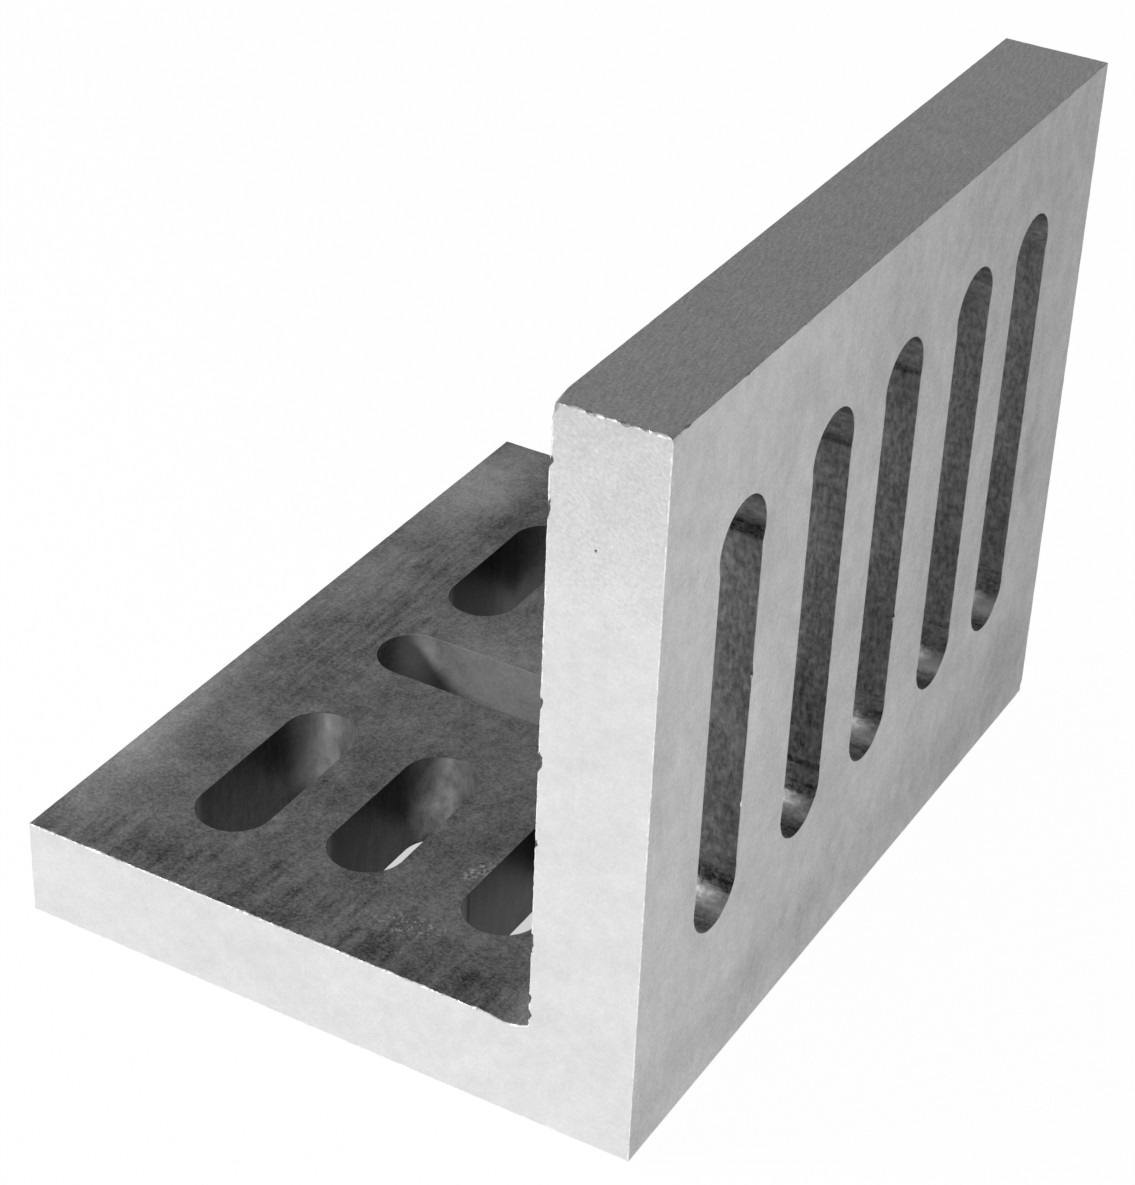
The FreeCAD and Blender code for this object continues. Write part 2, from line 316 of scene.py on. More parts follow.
class SkinMesh:
    """Collects the points and faces of one closed surface, in millimetres."""

    # points are one where they agree to 1 / WELD_PARTS mm, and the finished mesh is welded at WELD metres
    WELD_PARTS = 1e5
    WELD = 1e-7
    # the angle past which an edge is shaded as a crease
    CREASE = math.radians(8)
    # the fill keeps the triangles inside its outer loop, and this is its tolerance in mm
    FILL_INSIDE = 1
    FILL_NEAR = 1e-7

    def __init__(self) -> None:
        """Start empty."""
        self.points: list[Point] = []
        self.known: dict[tuple[int, int, int], int] = {}
        self.faces: list[tuple[int, ...]] = []
        self.skins: list[Skin] = []
        self.smooth: list[bool] = []

    def point(self, place: Sequence[float]) -> int:
        """Index of the point at a place, added if it's new."""
        key = tuple(round(c * self.WELD_PARTS) for c in place)
        if key not in self.known:
            self.known[key] = len(self.points)
            self.points.append(tuple(place))
        return self.known[key]

    def face(self, places: Iterable[Sequence[float]], skin: Skin, smooth: bool = False) -> None:
        """Add one face, without the points that fall together.

        Args:
            places: its corners in order.
            skin: its finish.
            smooth: whether it's shaded smoothly with its neighbours.
        """
        corners: list[int] = []
        for place in places:
            index = self.point(place)
            if index not in corners:
                corners.append(index)
        if len(corners) > 2:
            self.faces.append(tuple(corners))
            self.skins.append(skin)
            self.smooth.append(smooth)

    def strip(
        self,
        rows: Sequence[Sequence[Point]],
        skin: Skin | Sequence[Skin],
        closed: bool = False,
        smooth: bool = False,
    ) -> None:
        """Join rows of points by quads.

        Args:
            rows: rows with as many points each.
            skin: the finish of the quads, or one for each place along the rows.
            closed: whether the last point of each row joins its first.
            smooth: whether the quads are shaded smoothly.
        """
        for low, high in zip(rows, rows[1:]):
            count = len(low)
            for k in range(count if closed else count - 1):
                following = (k + 1) % count
                corners = (low[k], low[following], high[following], high[k])
                self.face(corners, skin if isinstance(skin, Skin) else skin[k], smooth)

    def plane(
        self,
        outline: Sequence[Point],
        holes: Sequence[Sequence[Point]],
        axes: tuple[int, int],
        skin: Skin,
    ) -> None:
        """Fill a plane outline with holes by triangles.

        Args:
            outline: the outer loop.
            holes: the loops of the holes.
            axes: the numbers of the plane's two axes.
            skin: the finish of the triangles.
        """
        loops = [list(outline), *map(list, holes)]
        places = [place for loop in loops for place in loop]
        owner = [number for number, loop in enumerate(loops) for _ in loop]
        edges: list[tuple[int, int]] = []
        start = 0
        for loop in loops:
            edges += [(start + k, start + (k + 1) % len(loop)) for k in range(len(loop))]
            start += len(loop)
        rings = [[tuple(place[axis] for axis in axes) for place in loop] for loop in loops]
        flats = [Vector(flat) for ring in rings for flat in ring]
        _, _, triangles, origins, _, _ = delaunay_2d_cdt(flats, edges, [], self.FILL_INSIDE, self.FILL_NEAR)
        for triangle in triangles:
            corners = [origins[k][0] for k in triangle]
            owners = {owner[k] for k in corners}
            middle = tuple(sum(flats[k][axis] for k in corners) / 3 for axis in (0, 1))
            if len(owners) == 1:
                ring = owners.pop()
                if ring and inside(middle, rings[ring]):
                    continue
            self.face([places[k] for k in corners], skin)

    def make(self, name: str, materials: Sequence[bpy.types.Material]) -> bpy.types.Object:
        """Write the mesh in metres and link its object.

        Args:
            name: the piece's name.
            materials: one for each finish, in the order of Skin.

        Returns:
            The new object.
        """
        mesh = bpy.data.meshes.new(name)
        mesh.from_pydata([tuple(c * MM for c in place) for place in self.points], [], self.faces)
        for material in materials:
            mesh.materials.append(material)
        mesh.polygons.foreach_set("material_index", [skin.value for skin in self.skins])
        mesh.polygons.foreach_set("use_smooth", self.smooth)
        form = bmesh.new()
        form.from_mesh(mesh)
        bmesh.ops.remove_doubles(form, verts=form.verts, dist=self.WELD)
        bmesh.ops.recalc_face_normals(form, faces=form.faces)
        for edge in form.edges:
            if len(edge.link_faces) == 2 and edge.calc_face_angle(0.0) > self.CREASE:
                edge.smooth = False
        open_edges = sum(len(edge.link_faces) != 2 for edge in form.edges)
        form.to_mesh(mesh)
        form.free()
        counts = (len(mesh.vertices), len(mesh.polygons), open_edges)
        LOG.info("%s: %d points, %d faces, %d open edges", name, *counts)
        piece = bpy.data.objects.new(name, mesh)
        bpy.context.scene.collection.objects.link(piece)
        return piece


def inside(place: Flat, ring: Sequence[Flat]) -> bool:
    """Whether a place lies inside a closed ring of points."""
    found = False
    x, y = place
    for (ax, ay), (bx, by) in zip(ring, [*ring[1:], ring[0]]):
        if (ay > y) != (by > y) and x < (bx - ax) * (y - ay) / (by - ay) + ax:
            found = not found
    return found


@dataclass(frozen=True)
class Section:
    """The L section in the XZ plane, with the hollow fillet and the cutter's dip in its inner corner."""

    base_width: float = 114.3
    wall_height: float = 127.0
    wall_thickness: float = 18.5
    base_thickness: float = 17.8
    corner_run: float = 4.4
    corner_rise: float = 0.8
    corner_dip: float = 0.4
    dip_run: float = 3.6

    FILLET_PARTS = 10
    DIP_PARTS = 3

    @property
    def outer(self) -> float:
        """X of the wall leg's outer face."""
        return self.base_width / 2

    @property
    def inner(self) -> float:
        """X of the wall leg's inner face."""
        return self.outer - self.wall_thickness

    @property
    def dip_end(self) -> float:
        """X where the fillet starts, at the bottom of the dip."""
        return self.inner - self.corner_run

    @property
    def dip_start(self) -> float:
        """X where the base leg's top starts to fall into the dip."""
        return self.dip_end - self.dip_run

    def fillet(self) -> list[Flat]:
        """Points of the hollow fillet, from the wall leg down to the dip."""
        climb = self.corner_dip + self.corner_rise
        radius = (self.corner_run**2 + climb**2) / (2 * climb)
        turn = math.asin(self.corner_run / radius)
        low = self.base_thickness - self.corner_dip
        angles = [turn * (1 - k / self.FILLET_PARTS) for k in range(self.FILLET_PARTS + 1)]
        return [(self.dip_end + radius * math.sin(a), low + radius * (1 - math.cos(a))) for a in angles]

    def dip(self) -> list[Flat]:
        """Points of the slope out of the dip."""
        low = self.base_thickness - self.corner_dip
        shares = [k / self.DIP_PARTS for k in range(self.DIP_PARTS + 1)]
        return [(lerp(self.dip_end, self.dip_start, s), lerp(low, self.base_thickness, s)) for s in shares]

    def runs(self) -> dict[Side, list[Flat]]:
        """The corners of every side in order, straight sides with two points."""
        free = -self.outer
        fillet = self.fillet()
        return {
            Side.UNDERSIDE: [(free, 0.0), (self.outer, 0.0)],
            Side.WALL_FACE: [(self.outer, 0.0), (self.outer, self.wall_height)],
            Side.WALL_TOP: [(self.outer, self.wall_height), (self.inner, self.wall_height)],
            Side.INNER_FACE: [(self.inner, self.wall_height), fillet[0]],
            Side.FILLET: fillet,
            Side.DIP: self.dip(),
            Side.BASE_TOP: [(self.dip_start, self.base_thickness), (free, self.base_thickness)],
            Side.FREE_EDGE: [(free, self.base_thickness), (free, 0.0)],
        }


@dataclass(frozen=True)
class Slot:
    """A through slot with two round ends, in the plane of the face that it opens.

    Attributes:
        middle: the point midway between its end centres.
        width: between its milled sides.
        span: between its end centres.
        turn: degrees by which its length is turned from the plane's second axis, clockwise.
        low_over: how far the drilled hole at its low end reaches past the sides.
        high_over: the same at its high end.
        rims: edge breaks where it opens on the first and on the second face.
        skin: the finish of its sides.
    """

    middle: Flat
    width: float
    span: float
    turn: float
    low_over: float
    high_over: float
    rims: tuple[EdgeBreak, EdgeBreak]
    skin: Skin

    ARC_PARTS = 44

    def outline(self, step: float) -> list[tuple[Flat, Flat, bool]]:
        """Points round the slot with the direction out of it.

        Args:
            step: greatest distance between points along its sides.

        Returns:
            Points once round, each with its outward direction and whether a round end starts or goes on
            at it.
        """
        half, reach = self.width / 2, self.span / 2
        low_radius, high_radius = half + self.low_over, half + self.high_over
        low_rise = math.sqrt(low_radius**2 - half**2)
        high_drop = math.sqrt(high_radius**2 - half**2)
        high_turn, low_turn = math.atan2(high_drop, half), math.atan2(low_rise, half)
        parts: list[tuple[Flat, Flat, bool]] = []

        def add_side(x: float, start: float, stop: float) -> None:
            """Points along one milled side, without its two ends."""
            count = max(2, math.ceil(abs(stop - start) / step))
            facing = (math.copysign(1.0, x), 0.0)
            parts.extend(((x, lerp(start, stop, k / count)), facing, False) for k in range(1, count))

        def add_end(
            centre: float, radius: float, start: float, stop: float, facing: tuple[Flat, Flat]
        ) -> None:
            """Points along one round end, with its two meetings with the sides."""
            for k in range(self.ARC_PARTS + 1):
                angle = lerp(start, stop, k / self.ARC_PARTS)
                out = (math.cos(angle), math.sin(angle))
                place = (radius * out[0], centre + radius * out[1])
                if k == 0:
                    out = mitre(facing[0], out)
                elif k == self.ARC_PARTS:
                    out = mitre(out, facing[1])
                parts.append((place, out, k < self.ARC_PARTS))

        right, left = (1.0, 0.0), (-1.0, 0.0)
        add_side(half, -reach + low_rise, reach - high_drop)
        add_end(reach, high_radius, -high_turn, math.pi + high_turn, (right, left))
        add_side(-half, reach - high_drop, -reach + low_rise)
        add_end(-reach, low_radius, math.pi - low_turn, 2 * math.pi + low_turn, (left, right))
        lean = math.radians(self.turn)
        cos, sin = math.cos(lean), math.sin(lean)

        def turned(pair: Flat) -> Flat:
            """A pair of numbers turned clockwise by the slot's own turn."""
            return (pair[0] * cos + pair[1] * sin, pair[1] * cos - pair[0] * sin)

        return [
            ((self.middle[0] + turned(place)[0], self.middle[1] + turned(place)[1]), turned(out), round_end)
            for place, out, round_end in parts
        ]


@dataclass(frozen=True)
class Stain:
    """A soft, ragged patch of another tone, in millimetres.

    Attributes:
        centre: its middle.
        reach: half of its size along X, Y and Z.
        tone: how much lighter it is, or darker if below zero.
        turn: degrees by which it is turned about Z.
        soft: share of its size over which it fades.
        ragged: how far its outline wanders.
    """

    centre: Point
    reach: Point
    tone: float = 1.0
    turn: float = 0.0
    soft: float = 0.45
    ragged: float = 0.9

    def mask(self, bench: "NodeBench", place: "Shade", wander: "Shade") -> "Shade":
        """Value that is 1 in the patch and 0 outside it."""
        local = bench.mapped(place, self.reach, (0.0, 0.0, self.turn), self.centre)
        away = bench.node("ShaderNodeVectorMath", {"operation": "LENGTH"}, {0: local}, "Value")
        return 1.0 - (away + (wander - 0.5) * self.ragged).within(1.0 - self.soft, 1.0 + self.soft)


@dataclass
class Casting:
    """The angle plate itself: the L section along Y, its through slots and its dressed edges."""

    section: Section = field(default_factory=Section)
    mesh: SkinMesh = field(default_factory=SkinMesh)
    length: float = 152.4
    wall_slot_lean: float = 0.26
    cross_slot_width: float = 13.25
    cross_slot_shift: float = 0.68
    cross_slot_free_land: float = 19.5
    cross_slot_wall_land: float = 11.8
    front_bar: float = 16.5
    back_bar: float = 10.3
    long_step: float = 0.8
    end_step: float = 0.45
    slot_step: float = 1.0

    # place, width, low land, high land, low over, high over
    WALL_SLOTS = (
        (-52.4, 13.35, 12.15, 20.95, 0.22, 0.48),
        (-23.5, 13.25, 11.8, 20.3, 0.2, 0.25),
        (1.25, 13.1, 11.95, 19.55, 0.12, 0.23),
        (27.65, 13.0, 11.15, 18.5, 0.1, 0.3),
        (50.85, 12.85, 10.4, 18.3, 0.17, 0.25),
    )
    # place, width, end land
    FRONT_SLOTS = ((-22.0, 13.6, 15.4), (2.45, 13.6, 18.2), (29.55, 13.2, 16.4))
    BACK_SLOTS = ((-21.3, 13.25, 23.0), (2.45, 13.25, 23.0), (29.55, 13.2, 23.0))
    # what picks the patterns of the rims, on the near and on the far face
    WALL_RIM_SEEDS = (20.0, 30.0)
    BASE_RIM_SEEDS = (40.0, 50.0)
    CROSS_RIM_SEEDS = (60.0, 61.0)

    SKIN_OF = {
        Side.UNDERSIDE: Skin.WALL_GROUND,
        Side.WALL_FACE: Skin.WALL_GROUND,
        Side.WALL_TOP: Skin.TOP_GROUND,
        Side.INNER_FACE: Skin.BASE_MILLED,
        Side.FILLET: Skin.CORNER_CUT,
        Side.DIP: Skin.CORNER_CUT,
        Side.BASE_TOP: Skin.BASE_MILLED,
        Side.FREE_EDGE: Skin.TOP_GROUND,
    }
    # corners along the length that are broken, by the side before each one; distances run from the front
    LONG_BREAKS = {
        Side.FREE_EDGE: EdgeBreak(0.16, 0.16, 0.6, 5.0, 1.0, skin=Skin.EDGE_DRESSED),
        Side.UNDERSIDE: EdgeBreak(
            0.14, 0.14, 0.6, 4.0, 2.0, nicks(Skin.BASE_SLOT_SHADE_AND_HIGHLIGHT, (151.6, 1.3, 0.35, 0.5)), Skin.EDGE_DRESSED
        ),
        Side.WALL_FACE: EdgeBreak(
            0.07, 0.09, 0.7, 3.0, 3.0,
            (
                *nicks(None, (0.0, 4.2, 0.95, 0.5, 0.5, 2.0), (21.2, 0.9, 0.2, 0.25), (39.7, 1.1, 0.25, 0.3)),
                *nicks(Skin.BASE_MILLED, (4.2, 0.8, 0.25, 0.3)),
            ),
            Skin.EDGE_DRESSED,
        ),
        Side.WALL_TOP: EdgeBreak(
            0.09, 0.09, 0.7, 3.0, 4.0, nicks(None, (0.0, 4.6, 0.95, 1.6, 0.5, 1.7)), Skin.EDGE_DRESSED
        ),
        Side.BASE_TOP: EdgeBreak(0.16, 0.16, 0.6, 5.0, 5.0, skin=Skin.EDGE_DRESSED),
    }
    # the edges round the front end; distances run in the order of Side: up the wall face, down the inner face
    FRONT_SEED = 71.0
    FRONT_BREAKS = {
        Side.UNDERSIDE: EdgeBreak(0.15, 0.15, 0.5, 3.0, FRONT_SEED),
        Side.WALL_FACE: EdgeBreak(0.16, 0.1, 1.1, 1.4, FRONT_SEED, nicks(None, (127.0, 9.0, 0.02, 0.12))),
        Side.WALL_TOP: EdgeBreak(
            0.12, 0.14, 1.1, 1.0, FRONT_SEED,
            (
                *nicks(Skin.BASE_MILLED, (13.15, 0.9, 0.35, 0.4), (7.55, 0.8, 0.3, 0.35)),
                *nicks(
                    Skin.EDGE_BURR,
                    (15.5, 1.3, 0.3, 0.25, 2.0), (11.6, 0.7, 0.25, 0.25), (9.6, 0.8, 0.12, 0.15),
                    (5.6, 0.7, 0.1, 0.15), (3.7, 0.4, 0.25, 0.25), (1.6, 1.5, 0.25, 0.25, 2.0),
                ),
            ),
            Skin.EDGE_DRESSED,
        ),
        Side.INNER_FACE: EdgeBreak(
            0.24, 0.18, 1.3, 1.2, FRONT_SEED,
            (
                *nicks(Skin.EDGE_DRESSED, (0.0, 2.4, 0.9, 0.7, 0.5, 1.5)),
                *nicks(None, (4.0, 5.2, 0.25, 0.3, 4.0), (31.0, 0.9, 0.15, 0.15)),
                *nicks(
                    Skin.CROSS_SLOT_LIGHT_AND_SHADE,
                    (8.9, 0.8, 0.25, 0.3), (16.2, 1.5, 0.25, 0.25), (48.6, 0.8, 0.15, 0.12),
                    (58.8, 1.7, 0.5, 0.5), (73.6, 0.7, 0.15, 0.15), (92.2, 2.0, 0.25, 0.2),
                    (103.1, 0.8, 0.15, 0.15), (106.0, 0.9, 0.2, 0.2),
                ),
            ),
        ),
        Side.FILLET: EdgeBreak(0.16, 0.2, 0.7, 1.8, FRONT_SEED),
        Side.DIP: EdgeBreak(0.16, 0.18, 0.7, 1.8, FRONT_SEED),
        Side.BASE_TOP: EdgeBreak(0.2, 0.22, 1.2, 0.9, FRONT_SEED),
        Side.FREE_EDGE: EdgeBreak(0.16, 0.16, 0.5, 3.0, FRONT_SEED),
    }
    BACK_BREAK = EdgeBreak(0.15, 0.15, 0.7, 2.6, 70.0, skin=Skin.EDGE_DRESSED)
    BACK_CHIP = nicks(Skin.BASE_SLOT_SHADE_AND_HIGHLIGHT, (0.6, 1.2, 0.5, 0.45))
    # how far each slot's low bands are moved up, and the tones of its painted shade band, painted glint and
    # painted bottom shade
    LOW_END_LIGHT_AND_SHADE = (
        (0.0, -0.34, 0.42, -0.5),
        (0.3, -0.2, 0.32, -0.38),
        (0.7, -0.1, 0.5, -0.28),
        (0.8, -0.16, 0.6, -0.34),
        (0.8, -0.18, 0.6, -0.34),
    )
    # painted highlights and painted shade bands across a wall slot's drilled ends, for the light round its
    # steps and ends:
    # slot, end, distance past the hole's middle, half height, tone and softness
    DRILL_END_LIGHT_AND_SHADE = (
        (0, 1, -1.9, 1.4, -0.45, 0.4),
        (1, 1, -2.0, 0.7, -0.28, 0.4),
        (2, 1, -1.9, 0.7, -0.28, 0.4),
        (3, 1, 2.2, 0.8, -0.2, 0.6),
        (0, -1, -1.3, 0.5, 0.1, 0.4),
        (1, -1, -1.7, 0.7, -0.22, 0.4),
        *((number, 1, 5.0, 2.2, -0.28, 0.8) for number in range(5)),
        *(
            (number, -1, past - lift, reach, tone, soft)
            for number, (lift, dark, glint, bottom) in enumerate(LOW_END_LIGHT_AND_SHADE)
            for past, reach, tone, soft in (
                (3.2, 1.8, dark, 0.6), (5.7, 1.3, glint, 0.8), (7.9, 1.4, bottom, 0.5),
            )
        ),
    )
    # half of a painted band's size through the wall leg and along it
    PAINTED_BAND_REACH = (40.0, 16.0)
    # chips on the back rim of a wall slot, by its number: height, reach, depth and finish
    RIM_CHIPS = {
        0: ((71.6, 0.9, 0.3, Skin.BASE_SLOT_SHADE_AND_HIGHLIGHT), (47.4, 0.8, 0.12, Skin.EDGE_BURR)),
        2: ((52.37, 0.7, 0.3, Skin.BASE_SLOT_SHADE_AND_HIGHLIGHT),),
    }
    # blow holes in the front end: X, Z, radius and depth
    BLOW_HOLES = ((46.49, 106.17, 0.24, 0.25),)
    # the rings of a blow hole: share of its radius and of its depth
    BLOW_HOLE_RINGS = ((1.0, 0.0), (0.75, 0.6), (0.35, 1.0))
    BLOW_HOLE_PARTS = 12
    # how far the patch on a broken corner reaches out to the sharp corner
    CORNER_FULLNESS = 0.25

    @property
    def half(self) -> float:
        """Y of the back end."""
        return self.length / 2

    @cached_property
    def runs(self) -> dict[Side, list[Flat]]:
        """The corners of every side of the section."""
        return self.section.runs()

    @cached_property
    def ends(self) -> dict[End, dict[Side, BrokenEdge]]:
        """The edges round both ends, each with its first face on the end and its second on the side."""
        return {end: {side: self.end_edge(end, side) for side in Side} for end in End}

    @staticmethod
    def rim(seed: float, skin: Skin, chips: tuple[Nick, ...] = ()) -> EdgeBreak:
        """The small uneven break round a slot."""
        return EdgeBreak(first=0.05, second=0.06, rough=0.8, grain=1.8, seed=seed, nicks=chips, skin=skin)

    def wall_slots(self) -> list[Slot]:
        """The five slots through the wall leg, in the YZ plane."""
        slots = []
        near_seed, far_seed = self.WALL_RIM_SEEDS
        for number, (place, width, low_land, high_land, low_over, high_over) in enumerate(self.WALL_SLOTS):
            low = self.section.base_thickness + low_land
            high = self.section.wall_height - high_land
            middle = (place, (low + high + low_over - high_over) / 2)
            span = high - low - width - low_over - high_over
            side_start = middle[1] - span / 2 + math.sqrt((width / 2 + low_over) ** 2 - (width / 2) ** 2)
            chips = tuple(
                Nick(height - side_start, reach, depth, depth, skin=skin)
                for height, reach, depth, skin in self.RIM_CHIPS.get(number, ())
            )
            near_rim = self.rim(near_seed + number, Skin.WALL_SLOT, chips)
            far_rim = self.rim(far_seed + number, Skin.WALL_SLOT)
            turn, rims = self.wall_slot_lean, (near_rim, far_rim)
            slots.append(Slot(middle, width, span, turn, low_over, high_over, rims, Skin.WALL_SLOT))
        return slots

    def painted_drill_end_bands(self) -> tuple[Stain, ...]:
        """Painted highlights and painted shade bands round the steps between a wall slot's milled sides and
        its drilled ends.
        """
        across = self.section.outer - self.section.wall_thickness / 2
        slots = self.wall_slots()
        marks = []
        for number, end, past, reach, tone, soft in self.DRILL_END_LIGHT_AND_SHADE:
            slot = slots[number]
            centre = (across, slot.middle[0], slot.middle[1] + end * (slot.span / 2 + past))
            marks.append(Stain(centre, (*self.PAINTED_BAND_REACH, reach), tone, soft=soft, ragged=0.3))
        return tuple(marks)

    def base_slots(self) -> list[Slot]:
        """The two rows of slots along the base leg and the slot across it, in the XY plane."""
        slots = []
        shift = self.section.wall_thickness / 2
        for side, row, bar in ((-1, self.FRONT_SLOTS, self.front_bar), (1, self.BACK_SLOTS, self.back_bar)):
            near = side * self.cross_slot_shift + self.cross_slot_width / 2 + bar
            for number, (place, width, end_land) in enumerate(row):
                far = self.half - end_land
                pattern = len(row) * side + number
                rims = tuple(self.rim(seed + pattern, Skin.CROSS_SLOT_LIGHT_AND_SHADE) for seed in self.BASE_RIM_SEEDS)
                middle = (place - shift, side * (near + far) / 2)
                slots.append(Slot(middle, width, far - near - width, 0.0, 0.0, 0.0, rims, Skin.BASE_SLOT_SHADE_AND_HIGHLIGHT))
        low = -self.section.outer + self.cross_slot_free_land
        high = self.section.inner - self.cross_slot_wall_land
        middle = ((low + high) / 2, self.cross_slot_shift)
        span = high - low - self.cross_slot_width
        rims = tuple(self.rim(seed, Skin.CROSS_SLOT_LIGHT_AND_SHADE) for seed in self.CROSS_RIM_SEEDS)
        slots.append(Slot(middle, self.cross_slot_width, span, 90.0, 0.0, 0.0, rims, Skin.CROSS_SLOT_LIGHT_AND_SHADE))
        return slots

    def end_break(self, end: End, side: Side) -> EdgeBreak:
        """The edge break between an end and one side: first on the end, second on the side."""
        if end is End.FRONT:
            return self.FRONT_BREAKS[side]
        return replace(self.BACK_BREAK, nicks=self.BACK_CHIP) if side is Side.WALL_FACE else self.BACK_BREAK

    def build(self, materials: Sequence[bpy.types.Material]) -> bpy.types.Object:
        """Make the whole skin of the casting.

        Args:
            materials: one for each finish, in the order of Skin.

        Returns:
            The piece's object.
        """
        for end in End:
            self.close_end(end)
        edges = {side: self.long_edge(side) for side in Side}
        holes = self.cut_slots()
        for side in Side:
            corner = edges[side.before]
            low, high = corner.second, edges[side].first
            if side.before in self.LONG_BREAKS:
                self.mesh.strip(corner, self.LONG_BREAKS[side.before].skins(self.length, len(low) - 1))
                self.close_corners(side.before, corner)
            if len(self.runs[side]) > 2:
                self.fill_curved(side, low, high)
                continue
            front, back = (self.ends[end][side].second for end in End)
            outline = [*front, *high[1:-1], *reversed(back), *reversed(low[1:-1])]
            axes = (1, 2) if side in (Side.WALL_FACE, Side.INNER_FACE, Side.FREE_EDGE) else (0, 1)
            self.mesh.plane(outline, holes[side], axes, self.SKIN_OF[side])
        return self.mesh.make(PIECE, materials)

    def stations(self, track: Sequence[Flat]) -> list[float]:
        """Distances at which a track is sampled: even if it's straight, and else at its corners."""
        if len(track) > 2:
            return list(accumulate(map(math.dist, track, track[1:]), initial=0.0))
        length = math.dist(*track)
        parts = math.ceil(length / self.end_step)
        return [k / parts * length for k in range(parts + 1)]

    def end_edge(self, end: End, side: Side) -> BrokenEdge:
        """Sample the edge between an end and one side.

        Args:
            end: which end.
            side: which side.

        Returns:
            Its rows of points, from the side's first corner to its last.
        """
        track = self.runs[side]
        distances = self.stations(track)
        setbacks = [self.end_break(end, side).setback(distance) for distance in distances]
        from_front = 0.0 if end is End.FRONT else self.length
        face_skip, side_skip = [0.0, 0.0], [0.0, 0.0]
        lead, tail = [self.runs[side.before][-2]], [self.runs[side.after][1]]
        if side.before in self.LONG_BREAKS:
            face_skip[0] = self.end_break(end, side.before).setback(track_length(self.runs[side.before]))[0]
            side_skip[0] = self.LONG_BREAKS[side.before].setback(from_front)[1]
            lead = []
        else:
            setbacks[0] = self.crease_setback(end, side.before)
        if side in self.LONG_BREAKS:
            face_skip[1] = self.end_break(end, side.after).setback(0.0)[0]
            side_skip[1] = self.LONG_BREAKS[side].setback(from_front)[0]
            tail = []
        else:
            setbacks[-1] = self.crease_setback(end, side)
        parts = len(distances) - 1
        on_face, on_side = spread(track, parts, face_skip), spread(track, parts, side_skip)
        y_end = end.value * self.half
        edge = BrokenEdge([], [], [])
        for one, two, push, (first, second) in zip(on_face, on_side, pushes(lead, on_face, tail), setbacks):
            edge.add(
                (one[0] + push[0] * first, y_end, one[1] + push[1] * first),
                (two[0], y_end - end.value * second, two[1]),
                ((one[0] + two[0]) / 2, y_end, (one[1] + two[1]) / 2),
            )
        return edge

    def crease_setback(self, end: End, side: Side) -> Flat:
        """One setback for both sides that meet at the hollow corner after a side."""
        one = self.end_break(end, side).setback(track_length(self.runs[side]))
        two = self.end_break(end, side.after).setback(0.0)
        return (one[0] + two[0]) / 2, (one[1] + two[1]) / 2

    def close_end(self, end: End) -> None:
        """Fill an end face and the broken edge round it."""
        outline: list[Point] = []
        for side, edge in self.ends[end].items():
            skins = self.end_break(end, side).skins(track_length(self.runs[side]), len(edge.first) - 1)
            self.mesh.strip(edge, skins)
            outline += edge.first[:-1]
        holes = self.cut_blow_holes() if end is End.FRONT else []
        self.mesh.plane(outline, holes, (0, 2), Skin.END_GROUND)

    def cut_blow_holes(self) -> list[list[Point]]:
        """Cut the small blow holes in the front end, and give their rims."""
        rims = []
        turns = [2 * math.pi * k / self.BLOW_HOLE_PARTS for k in range(self.BLOW_HOLE_PARTS)]
        for x, z, radius, depth in self.BLOW_HOLES:
            rows = []
            for share, drop in self.BLOW_HOLE_RINGS:
                y, reach = depth * drop - self.half, radius * share
                rows.append([(x + reach * math.cos(turn), y, z + reach * math.sin(turn)) for turn in turns])
            self.mesh.strip(rows, Skin.WALL_SLOT, closed=True)
            self.mesh.face(rows[-1], Skin.WALL_SLOT)
            rims.append(rows[0])
        return rims

    def long_edge(self, side: Side) -> BrokenEdge:
        """Rows of points along the corner after a side. They are one row where the corner isn't broken."""
        parts = math.ceil(self.length / self.long_step)
        front, back = ((self.ends[end][side].second[-1], self.ends[end][side.after].second[0]) for end in End)
        if side not in self.LONG_BREAKS:
            row = [mix(front[0], back[0], k / parts) for k in range(parts + 1)]
            return BrokenEdge(row, row, row)
        x, z = self.runs[side][-1]
        ways = (unit(self.runs[side][-1], self.runs[side][-2]), unit(*self.runs[side.after][:2]))
        edge = BrokenEdge([], [], [])
        for share in (k / parts for k in range(parts + 1)):
            levels = [lerp(near[1], far[1], share) for near, far in zip(front, back)]
            depths = self.LONG_BREAKS[side].setback(share * self.length)
            one, two = (
                (x + way[0] * depth, y, z + way[1] * depth) for way, y, depth in zip(ways, levels, depths)
            )
            edge.add(one, two, (x, sum(levels) / 2, z))
        edge.first[0], edge.second[0] = front
        edge.first[-1], edge.second[-1] = back
        return edge

    def close_corners(self, side: Side, edge: BrokenEdge) -> None:
        """Close the small patches where the broken corner after a side meets the two ends."""
        x, z = self.runs[side][-1]
        for end, at in ((End.FRONT, 0), (End.BACK, -1)):
            one, two = self.ends[end][side], self.ends[end][side.after]
            rim = (edge.first[at], edge.middle[at], edge.second[at])
            loop = [one.first[-1], one.middle[-1], *rim, two.middle[0]]
            average = tuple(sum(axis) / len(loop) for axis in zip(*loop))
            peak = mix(average, (x, end.value * self.half, z), self.CORNER_FULLNESS)
            for near, far in zip(loop, [*loop[1:], loop[0]]):
                self.mesh.face((near, far, peak), Skin.EDGE_DRESSED)

    def fill_curved(self, side: Side, low: list[Point], high: list[Point]) -> None:
        """Fill a curved side of the section, between the rows of points along its two corners."""
        fronts, backs = (self.ends[end][side].second[1:-1] for end in End)
        parts = len(low) - 1
        between = [[mix(near, far, k / parts) for k in range(parts + 1)] for near, far in zip(fronts, backs)]
        self.mesh.strip([low, *between, high], self.SKIN_OF[side], smooth=True)

